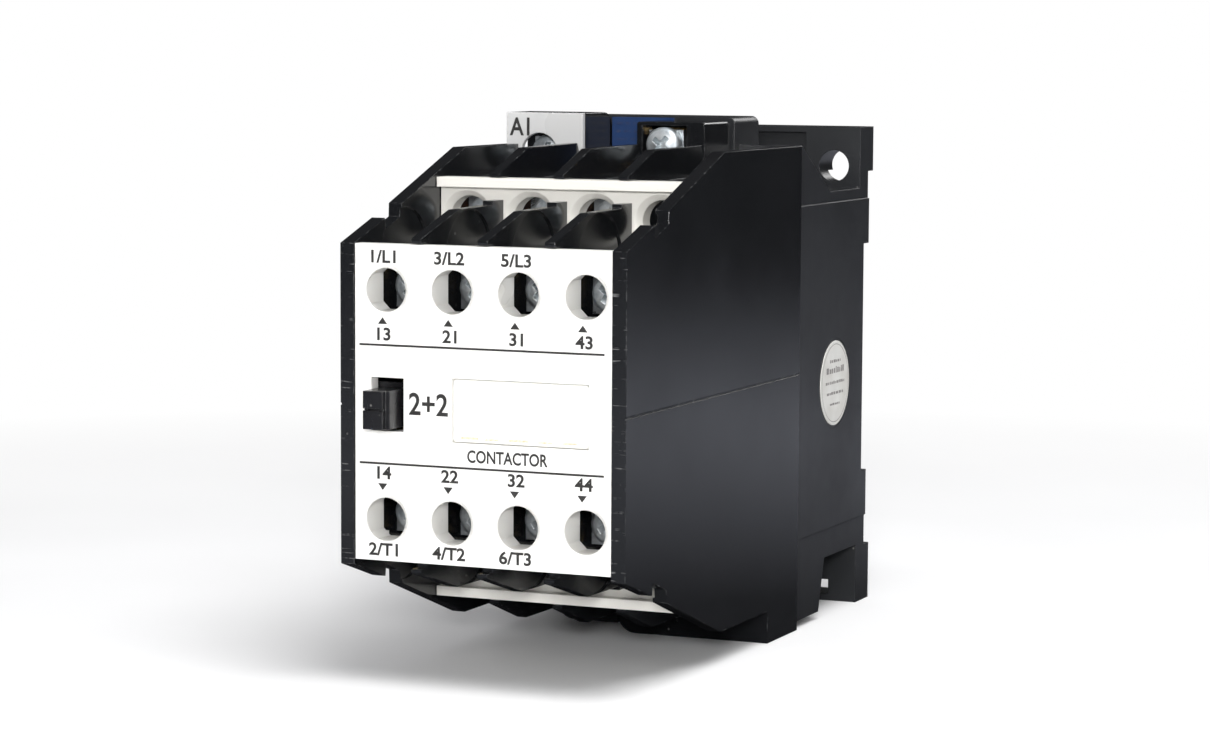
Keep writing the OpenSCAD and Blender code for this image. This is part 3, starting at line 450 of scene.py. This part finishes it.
def finish_piece(mesh, name, material, body, replaces=()):
    """Puts a mesh in the scene as a piece that rides on a body, and hides the CAD nodes it replaces."""
    piece = bpy.data.objects.new(name, mesh)
    bpy.context.scene.collection.objects.link(piece)
    mesh.materials.append(material)
    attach(piece, body)
    if replaces:
        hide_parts(*replaces)
    return piece


def mesh_of(bm, name, smooth_angle=None):
    """Turns a bmesh into a mesh, smooth where its faces meet below the angle in degrees."""
    mesh = bpy.data.meshes.new(name)
    bmesh.ops.recalc_face_normals(bm, faces=bm.faces)
    bm.to_mesh(mesh)
    bm.free()
    if smooth_angle is not None:
        for face in mesh.polygons:
            face.use_smooth = True
        mesh.set_sharp_from_angle(angle=math.radians(smooth_angle))
    return mesh


def skin(bm, rings):
    """Joins rings of points one after the other and closes both ends."""
    for a, b in zip(rings, rings[1:]):
        for k in range(len(a)):
            after = (k + 1) % len(a)
            bm.faces.new((a[k], a[after], b[after], b[k]))
    bm.faces.new(rings[0])
    bm.faces.new(list(reversed(rings[-1])))


def lathe(bm, profile, sides=48, turn=None):
    """Rings about the Y axis from (y, radius) points; turn(i, a) may shift a radius."""
    rings = []
    for i, (y, r) in enumerate(profile):
        ring = []
        for k in range(sides):
            a = 2 * math.pi * k / sides
            q = r + (turn(i, a) if turn else 0.0)
            ring.append(bm.verts.new((q * math.cos(a), y, q * math.sin(a))))
        rings.append(ring)
    skin(bm, rings)


def arc_points(centre, radius, start, end, steps):
    """Points of an arc between two angles in degrees."""
    return [(centre[0] + radius * math.cos(math.radians(start + (end - start) * i / steps)),
             centre[1] + radius * math.sin(math.radians(start + (end - start) * i / steps)))
            for i in range(steps + 1)]


def head_profile(radius, height):
    """A pan head from its face at y = 0 to its underside: a domed top and a round shoulder."""
    rise = 0.126 * radius
    flat_r, shoulder_r = 0.72 * radius, 0.28 * radius
    soft = 0.12 * MM
    steps = 6
    dome = [(rise * (i / steps) ** 2, max(0.02 * MM, flat_r * i / steps)) for i in range(steps + 1)]
    shoulder = arc_points((rise + shoulder_r, flat_r), shoulder_r, 180, 90, steps)
    return dome + shoulder[1:] + [(height - soft, radius), (height, radius - soft)]


def wedge(bm, half_length, half_width, depth, taper, along_x):
    """One tapered bar of a cross recess, its mouth a little in front of y = 0."""
    corners = []
    for y, share in ((-0.3 * MM, 1.12), (depth, taper)):
        a, b = half_length * share, half_width * (share if share > 1 else 0.72)
        if not along_x:
            a, b = b, a
        corners.append([bm.verts.new((x, y, z)) for x, z in ((-a, -b), (a, -b), (a, b), (-a, b))])
    skin(bm, corners)


def cut(blank, cutter):
    """The blank with the cutter taken out of it, as a new mesh."""
    base = bpy.data.objects.new("blank", blank)
    tool = bpy.data.objects.new("cutter", cutter)
    for thing in (base, tool):
        bpy.context.scene.collection.objects.link(thing)
    step = base.modifiers.new("cut", "BOOLEAN")
    step.operation, step.solver, step.object = "DIFFERENCE", "EXACT", tool
    bpy.context.view_layer.update()
    ready = base.evaluated_get(bpy.context.evaluated_depsgraph_get())
    mesh = bpy.data.meshes.new_from_object(ready)
    for thing in (base, tool):
        bpy.data.objects.remove(thing)
    return mesh


def screw_mesh(radius, height, shank_r, shank):
    """A pan-head screw with a cross recess and a cut thread; its face is at y = 0."""
    bm = bmesh.new()
    lathe(bm, head_profile(radius, height))
    blank = mesh_of(bm, "screw_head")
    for along_x in (True, False):
        bm = bmesh.new()
        wedge(bm, radius * 0.62, radius * 0.155, height * 0.66, 0.42, along_x)
        blank = cut(blank, mesh_of(bm, "recess"))
    bm = bmesh.new()
    bm.from_mesh(blank)
    pitch, steps = 0.7 * MM, 4
    core_r, crest = shank_r * 0.9, shank_r * 0.1
    rows = int(shank / pitch) * steps
    profile = [(height - 0.01 * MM, shank_r * 0.8)]
    profile += [(height + shank * i / rows, core_r) for i in range(rows + 1)]

    def thread(i, a):
        if i in (0, rows + 1):
            return -0.15 * shank_r
        phase = (i / steps + a / (2 * math.pi)) % 1.0
        return crest * (1 - 4 * abs(phase - 0.5))
    lathe(bm, profile, 20, thread)
    return mesh_of(bm, "screw", 32)


def add_turned(bm, model, place, degrees):
    """Adds a copy of a mesh at a place, turned about its Y axis."""
    before = len(bm.verts)
    bm.from_mesh(model)
    bm.verts.ensure_lookup_table()
    move = Matrix.Translation(place) @ Matrix.Rotation(math.radians(degrees), 4, "Y")
    bmesh.ops.transform(bm, matrix=move, verts=bm.verts[before:])


def screw_group(name, model, places, turn, node, seed):
    """Copies of one screw, each turned by its own amount, as one piece."""
    draw = random.Random(seed)
    bm = bmesh.new()
    for place in places:
        add_turned(bm, model, place, turn + draw.uniform(-16, 16))
    finish_piece(mesh_of(bm, name, 32), name, SCREW_ZINC, "housing", (node,))


def terminal_screws():
    """The screws of the two tiers: four poles in front, three poles behind."""
    for name, node, poles, z, turn, seed in (
            ("auxiliary_terminal_screws", "aux_screws", POLES, AUX_Z, 45, 4),
            ("main_terminal_screws", "main_screws", POLES[:3], MAIN_Z, 20, 9)):
        low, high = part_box(node)
        model = screw_mesh(HEAD_R, HEAD_H, THREAD_R, high.y - low.y - HEAD_H)
        screw_group(name, model, [(x, low.y, side * z) for side in (1, -1) for x in poles],
                    turn, node, seed)


def case_screws():
    """The two long screws behind the unused pole, which hold the housings together."""
    low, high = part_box("housing_screws")
    head_h = HEAD_H + 0.3 * MM
    model = screw_mesh(HEAD_R, head_h, 1.5 * MM, high.y - low.y - head_h)
    screw_group("case_screws", model, [(POLES[3], low.y, side * MAIN_Z) for side in (1, -1)],
                30, "housing_screws", 2)


def coil_terminal_screws():
    """The A2 screw, and the shorter A1 screw set back behind its cover."""
    low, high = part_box("coil_screws")
    a1_z, a2_z = (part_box(n)[1].z - 2.6 * MM for n in ("coil_terminal_a1", "coil_terminal_a2"))
    a1_x, a2_x = low.x + COIL_HEAD_R, high.x - COIL_HEAD_R
    set_back = 3.3 * MM
    bm = bmesh.new()
    for place, shank, degrees in (((a2_x, low.y, a2_z), 8.0 * MM, 38),
                                  ((a1_x, low.y + set_back, a1_z), 5.0 * MM, 12)):
        add_turned(bm, screw_mesh(COIL_HEAD_R, HEAD_H, THREAD_R, shank), place, degrees)
    finish_piece(mesh_of(bm, "coil_terminal_screws", 32), "coil_terminal_screws", SCREW_ZINC,
                 "housing", ("coil_screws",))


terminal_screws()
case_screws()
coil_terminal_screws()


# ---- Springs ----

def wire_coil(bm, place, length, radius, wire, turns):
    """A spring of round wire about the local Y axis, its end turns lying flat."""
    steps, sides, flat = 22, 8, 0.75
    whole = turns + 2 * flat
    rings = []
    count = int(whole * steps)
    for i in range(count + 1):
        turn = whole * i / count
        share = min(1.0, max(0.0, (turn - flat) / turns))
        y = wire + (length - 2 * wire) * share
        a = 2 * math.pi * turn
        ring = []
        for k in range(sides):
            b = 2 * math.pi * k / sides
            r = radius + wire * math.cos(b)
            ring.append(bm.verts.new(place @ Vector(
                (r * math.cos(a), y + wire * math.sin(b), r * math.sin(a)))))
        rings.append(ring)
    skin(bm, rings)


def spring(name, node, body, places, length, radius, wire, turns, squeeze=None):
    """Springs in place of a CAD node; squeeze is (joint, axis, anchor, travel at its limit), but only
    whether it is given is used: it gives the piece a mesh of its own.
    """
    bm = bmesh.new()
    for place in places:
        wire_coil(bm, place, length, radius, wire, turns)
    piece = finish_piece(mesh_of(bm, name, 60), name, SPRING, body, (node,))
    if squeeze:
        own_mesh(piece)


ALONG_Y, ALONG_Z = Vector((0, 1, 0)), Vector((0, 0, 1))
CARRIER_TRAVEL, LATCH_TRAVEL = 5.5 * MM, 3.2 * MM
BRIDGE_LAG = 2.1 * MM
BREAK_CONTACTS = (2, 3)


def contact_springs(kind, numbers, wire, still=()):
    """One spring behind each bridge; those in still are given no squeeze."""
    for n in numbers:
        node = f"{kind}_spring_{n}"
        low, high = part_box(node)
        centre = (low + high) / 2
        seat = (centre.x, low.y, centre.z)
        squeeze = None if n in still else (f"{kind}_bridge_{n}_lag", ALONG_Y, seat, BRIDGE_LAG)
        spring(f"{kind}_contact_spring_{n}", node, "carrier", [Matrix.Translation(seat)],
               high.y - low.y, (high.x - low.x) / 2 - wire, wire, 4, squeeze)


def return_springs():
    """The pair that pushes the carrier forward."""
    low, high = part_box("return_springs")
    wire = 0.35 * MM
    radius = (high.z - low.z) / 2 - wire
    reach = high.x - wire - radius
    z = (low.z + high.z) / 2
    spring("return_spring_pair", "return_springs", "housing",
           [Matrix.Translation((side * reach, low.y, z)) for side in (-1, 1)], high.y - low.y,
           radius, wire, 6, ("carrier_slide", ALONG_Y, (0, high.y, z), CARRIER_TRAVEL))


def latch_spring():
    """The upright spring over the rail latch."""
    low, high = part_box("latch_spring")
    wire = 0.18 * MM
    seat = ((low.x + high.x) / 2, (low.y + high.y) / 2, low.z)
    upright = Matrix.Translation(seat) @ Matrix.Rotation(math.pi / 2, 4, "X")
    spring("rail_latch_spring", "latch_spring", "housing", [upright], high.z - low.z,
           (high.x - low.x) / 2 - wire, wire, 5, ("rail_latch_slide", ALONG_Z, seat, LATCH_TRAVEL))


contact_springs("main", (1, 2, 3), 0.35 * MM)
contact_springs("aux", (1, 2, 3, 4), 0.25 * MM, BREAK_CONTACTS)
return_springs()
latch_spring()


# ---- Printing ----

PRINT_LIFT = 0.02 * MM
LETTER_WIDTH = 1.1
# Each row of terminal marks, its height over the middle and its shift to the right, in mm.
MARK_ROWS = (
    (("1/L1", "3/L2", "5/L3"), 21.6, 0.15),
    (("13", "21", "31", "43"), 10.4, 0.2),
    (("14", "22", "32", "44"), -9.75, 0.25),
    (("2/T1", "4/T2", "6/T3"), -20.95, 0.1),
)


def letter_mesh(words, bold):
    """Flat lettering one unit in size, its base line at y = 0."""
    curve = bpy.data.curves.new("letters", "FONT")
    curve.body = words
    curve.offset = bold
    curve.resolution_u = 4
    thing = bpy.data.objects.new("letters", curve)
    bpy.context.scene.collection.objects.link(thing)
    bpy.context.view_layer.update()
    mesh = bpy.data.meshes.new_from_object(
        thing.evaluated_get(bpy.context.evaluated_depsgraph_get()))
    bpy.data.objects.remove(thing)
    return mesh


CAPITAL = max(v.co.y for v in letter_mesh("H", 0.0).vertices)


def lettering(bm, words, x, z, height, y, bold=0.027, width=LETTER_WIDTH):
    """Adds flat lettering that faces the front, its capitals centred on x and z."""
    mesh = letter_mesh(words, bold)
    across = [v.co.x for v in mesh.vertices]
    centre = (min(across) + max(across)) / 2
    size = height / CAPITAL
    before = len(bm.verts)
    bm.from_mesh(mesh)
    bm.verts.ensure_lookup_table()
    place = (Matrix.Translation((x, y, z)) @ Matrix.Rotation(math.radians(90), 4, "X")
             @ Matrix.Diagonal((size * width, size, size, 1))
             @ Matrix.Translation((-centre, -CAPITAL / 2, 0)))
    bmesh.ops.transform(bm, matrix=place, verts=bm.verts[before:])


def flat_shape(bm, points, y):
    """A flat outline of (x, z) points that faces the front."""
    bm.faces.new([bm.verts.new((px, y, pz)) for px, pz in points])


def front_printing():
    """Terminal marks in four rows, arrows, two rules and the words in the middle."""
    y = FACE_Y - PRINT_LIFT
    bm = bmesh.new()
    mark_height = 1.72 * MM
    for marks, z, shift in MARK_ROWS:
        for x, mark in zip(POLES, marks):
            lettering(bm, mark, x + shift * MM, z * MM, mark_height, y)
    half, tall = 0.75 * MM, 0.5 * MM
    for x in POLES:
        for z, way in ((12.35 * MM, tall), (-11.8 * MM, -tall)):
            flat_shape(bm, [(x - half, z - way), (x + half, z - way), (x, z + way)], y)
    left, right, half_line = COVER_LOW.x + 0.7 * MM, COVER_HIGH.x - 1.1 * MM, 0.16 * MM
    for z in (8.8 * MM, -8.4 * MM):
        flat_shape(bm, [(left, z - half_line), (right, z - half_line),
                        (right, z + half_line), (left, z + half_line)], y)
    lettering(bm, "2+2", -8.4 * MM, 0.5 * MM, 3.05 * MM, y, 0.018, 0.9)
    lettering(bm, "CONTACTOR", 4.1 * MM, -6.65 * MM, 1.7 * MM, y, 0.024, 0.8)
    finish_piece(mesh_of(bm, "front_printing"), "front_printing", DARK_INK, "housing")


def cover_tabs():
    """Two small raised tabs in the upper corners of the front cover."""
    bm = bmesh.new()
    wide, tall, high, soft = 1.3 * MM, 2.8 * MM, 0.12 * MM, 0.06 * MM
    top, rim = COVER_HIGH.z - 0.25 * MM, 0.2 * MM
    for x0 in (COVER_LOW.x + rim, COVER_HIGH.x - rim - wide):
        outline = [(x0, top - tall), (x0 + wide, top - tall), (x0 + wide, top), (x0, top)]
        skin(bm, [[bm.verts.new((px, y, pz)) for px, pz in outline]
                  for y in (FACE_Y + high, FACE_Y - high)])
    bmesh.ops.bevel(bm, geom=list(bm.edges), offset=soft, segments=2, affect="EDGES")
    finish_piece(mesh_of(bm, "cover_tabs", 40), "cover_tabs", COVER_WHITE, "housing")


def plate_dashes():
    """Short beige dashes along the bottom of the marking plate."""
    low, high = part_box("marking_plate")
    y = low.y - PRINT_LIFT
    bm = bmesh.new()
    draw = random.Random(12)
    start = low.x + 1.2 * MM
    while start < high.x - 3.5 * MM:
        end = start + draw.uniform(2.2, 3.6) * MM
        z = low.z + draw.uniform(0.35, 0.5) * MM
        tall = draw.uniform(0.28, 0.42) * MM
        flat_shape(bm, [(start, z), (end, z + 0.04 * MM), (end - 0.1 * MM, z + tall),
                        (start + 0.15 * MM, z + tall * 0.9)], y)
        start = end + draw.uniform(0.9, 1.6) * MM
    finish_piece(mesh_of(bm, "marking_plate_dashes"), "marking_plate_dashes", DASH_BEIGE, "housing")


def coil_terminal_mark():
    """The terminal's name on the grey cover."""
    low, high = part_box("a1_cover")
    bm = bmesh.new()
    lettering(bm, "A1", low.x + 2.3 * MM, high.z - 2.25 * MM, 2.7 * MM, low.y - PRINT_LIFT, 0.02, 0.86)
    finish_piece(mesh_of(bm, "coil_terminal_mark"), "coil_terminal_mark", DARK_INK, "housing")


def coil_label_print():
    """Rows of plain bars in place of words on the blue label."""
    low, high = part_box("coil_label")
    bm = bmesh.new()
    draw = random.Random(7)
    half, gap, margin = 0.22 * MM, 0.45 * MM, 0.6 * MM
    for row in range(4):
        z = high.z - (1.0 + 1.25 * row) * MM
        start = low.x + 0.8 * MM
        while start < high.x - 2 * margin:
            end = min(start + draw.uniform(0.6, 2.2) * MM, high.x - margin)
            flat_shape(bm, [(start, z - half), (end, z - half), (end, z + half), (start, z + half)],
                       low.y - PRINT_LIFT)
            start = end + gap
    finish_piece(mesh_of(bm, "coil_label_print"), "coil_label_print", NAVY_INK, "housing")


def side_label():
    """The round label: a paper disc whose face is a little below the wall's."""
    low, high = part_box("side_label")
    sunk, soft = 0.012 * MM, 0.04 * MM
    radius = (high.z - low.z) / 2 - 0.35 * MM
    face = high.x - sunk
    bm = bmesh.new()
    lathe(bm, [(low.x, radius), (face - soft, radius), (face, radius - soft)], 96)
    disc = mesh_of(bm, "round_side_label", 40)
    disc.transform(Matrix.Translation((0, (low.y + high.y) / 2, (low.z + high.z) / 2))
                   @ Matrix.Rotation(math.radians(-90), 4, "Z"))
    finish_piece(disc, "round_side_label", SIDE_PAPER, "housing", ("side_label",))
    side_label_print((low + high) / 2, face + 0.008 * MM, radius)


def side_label_print(centre, x, radius):
    """A thin ring and five rows of unreadable strokes."""
    bm = bmesh.new()

    def spot(across, up):
        return bm.verts.new((x, centre.y + across, centre.z + up))
    turns = [2 * math.pi * k / 72 for k in range(72)]
    inner, outer = ([spot(r * math.cos(a), r * math.sin(a)) for a in turns]
                    for r in (radius - 0.62 * MM, radius - 0.5 * MM))
    for k in range(72):
        bm.faces.new((inner[k], inner[k - 1], outer[k - 1], outer[k]))
    draw = random.Random(21)
    rows = ((2.6, 0.55), (4.2, 1.1), (4.6, 0.5), (4.0, 0.5), (2.4, 0.4))
    for row, (half_width, tall) in enumerate(rows):
        z = (3.4 - 1.75 * row) * MM
        start, last = -half_width * MM, half_width * MM
        while start < last:
            end = min(start + draw.uniform(0.35, 1.1) * MM, last)
            top = z + draw.uniform(0.7, 1.0) * tall * MM
            bm.faces.new([spot(*corner) for corner in ((start, z), (end, z), (end, top), (start, top))])
            start = end + draw.uniform(0.15, 0.35) * MM
    finish_piece(mesh_of(bm, "side_label_print"), "side_label_print", GREY_INK, "housing")


front_printing()
cover_tabs()
plate_dashes()
coil_terminal_mark()
coil_label_print()
side_label()


# ---- Floor, light and camera ----

def floor_material():
    """Pale floor that fades into the white studio; to glossy rays it shows a painted reflection, dark
    with a grey band around the object.
    """
    material, tree, shader, place = start_material("pale_studio_floor")
    shade = noise(tree, place, 14.0, 3.0)
    feed(tree, shader.inputs["Base Color"],
         mix_colour(tree, shade, rgba((0.90, 0.90, 0.90)), rgba((0.93, 0.93, 0.93))))
    feed(tree, shader.inputs["Roughness"], remap(tree, shade, 0.3, 0.7, 0.6, 0.75))
    away = put(tree, "ShaderNodeVectorMath", {0: place}, operation="LENGTH").outputs["Value"]
    ray = put(tree, "ShaderNodeLightPath").outputs
    fade = maths(tree, "MULTIPLY", remap(tree, away, 0.12, 0.34), ray["Is Camera Ray"])
    white = put(tree, "ShaderNodeEmission")
    white.inputs["Strength"].default_value = 1.0
    seen = put(tree, "ShaderNodeMixShader", {0: fade, 1: shader.outputs[0], 2: white.outputs[0]})
    # Painted reflection: glossy rays see a dark floor with a grey band from about 6 to 78 cm out, which
    # paints a soft grey sheen low on the walls.
    painted_reflection_band = maths(tree, "MULTIPLY", remap(tree, away, 0.06, 0.3), remap(tree, away, 0.78, 0.34))
    painted_reflection = put(tree, "ShaderNodeBsdfDiffuse",
              {"Color": mix_colour(tree, painted_reflection_band, rgba((0.03, 0.03, 0.033)), rgba((0.43, 0.445, 0.50)))})
    both = put(tree, "ShaderNodeMixShader", {0: ray["Is Glossy Ray"], 1: seen.outputs[0],
                                             2: painted_reflection.outputs[0]})
    out = next(n for n in tree.nodes if n.type == "OUTPUT_MATERIAL")
    feed(tree, out.inputs["Surface"], both.outputs[0])
    return material


def studio_floor():
    """A wide flat floor just under the object."""
    low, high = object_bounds()
    reach, gap = 3.0, 0.01 * MM
    bm = bmesh.new()
    bm.faces.new([bm.verts.new((reach * x, reach * y, 0.0))
                  for x, y in ((-1, -1), (1, -1), (1, 1), (-1, 1))])
    mesh = mesh_of(bm, "studio_floor")
    mesh.materials.append(floor_material())
    floor = bpy.data.objects.new("studio_floor", mesh)
    bpy.context.scene.collection.objects.link(floor)
    floor.location = (0.0, (low.y + high.y) / 2, low.z - gap)
    floor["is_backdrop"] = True


def softbox(name, place, aim, size, watts):
    """A square lamp that faces its aim."""
    lamp = bpy.data.lights.new(name, "AREA")
    lamp.shape, lamp.size, lamp.energy = "SQUARE", size, watts
    holder = bpy.data.objects.new(name, lamp)
    holder.location = place
    holder.rotation_euler = (Vector(aim) - Vector(place)).to_track_quat("-Z", "Y").to_euler()
    bpy.context.scene.collection.objects.link(holder)


def studio_lamps():
    """A weak lamp on each side, one near the lens for the holes, and a strong one above."""
    body, face = (0.0, -0.05, 0.0), (0.0, -0.1, 0.0)
    softbox("left_softbox", (-0.85, -0.65, 0.55), body, 0.45, 1.2)
    softbox("front_softbox", (0.26, -0.68, 0.14), face, 0.1, 3.2)
    softbox("top_softbox", (0.32, -0.3, 0.8), body, 0.6, 8.0)
    softbox("rear_softbox", (0.12, 1.05, 0.46), body, 0.34, 1.3)


def studio_world():
    """White to the camera, grey as light, nearly black in reflections."""
    world = bpy.data.worlds.new("studio")
    bpy.context.scene.world = world
    world.use_nodes = True
    tree = world.node_tree
    ray = put(tree, "ShaderNodeLightPath").outputs
    room = mix_colour(tree, ray["Is Glossy Ray"], rgba((0.34, 0.34, 0.35)), rgba((0.035, 0.035, 0.037)))
    feed(tree, tree.nodes["Background"].inputs["Color"],
         mix_colour(tree, ray["Is Camera Ray"], room, rgba((1.0, 1.0, 1.0))))


def make_camera():
    """Stands in front of the object, to its right and a little above, with a long lens."""
    stand = Vector((205.697, -536.72, 53.104)) * MM
    azimuth, pitch, roll = (math.radians(a) for a in (23.214, 5.685, 0.296))
    back = Vector((math.sin(azimuth) * math.cos(pitch), -math.cos(azimuth) * math.cos(pitch),
                   math.sin(pitch)))
    right = (-back).cross(Vector((0, 0, 1))).normalized()
    up = right.cross(-back)
    level = math.cos(roll) * right + math.sin(roll) * up
    plumb = -math.sin(roll) * right + math.cos(roll) * up
    data = bpy.data.cameras.new("camera")
    data.sensor_fit, data.sensor_width, data.lens = "HORIZONTAL", 36.0, 100.886
    data.clip_start, data.clip_end = 0.01, 20.0
    camera = bpy.data.objects.new("camera", data)
    camera.matrix_world = (Matrix.Translation(stand)
                           @ Matrix((level, plumb, back)).transposed().to_4x4())
    bpy.context.scene.collection.objects.link(camera)
    bpy.context.scene.camera = camera


studio_floor()
studio_lamps()
studio_world()
make_camera()
bpy.context.scene.view_settings.view_transform = "Standard"
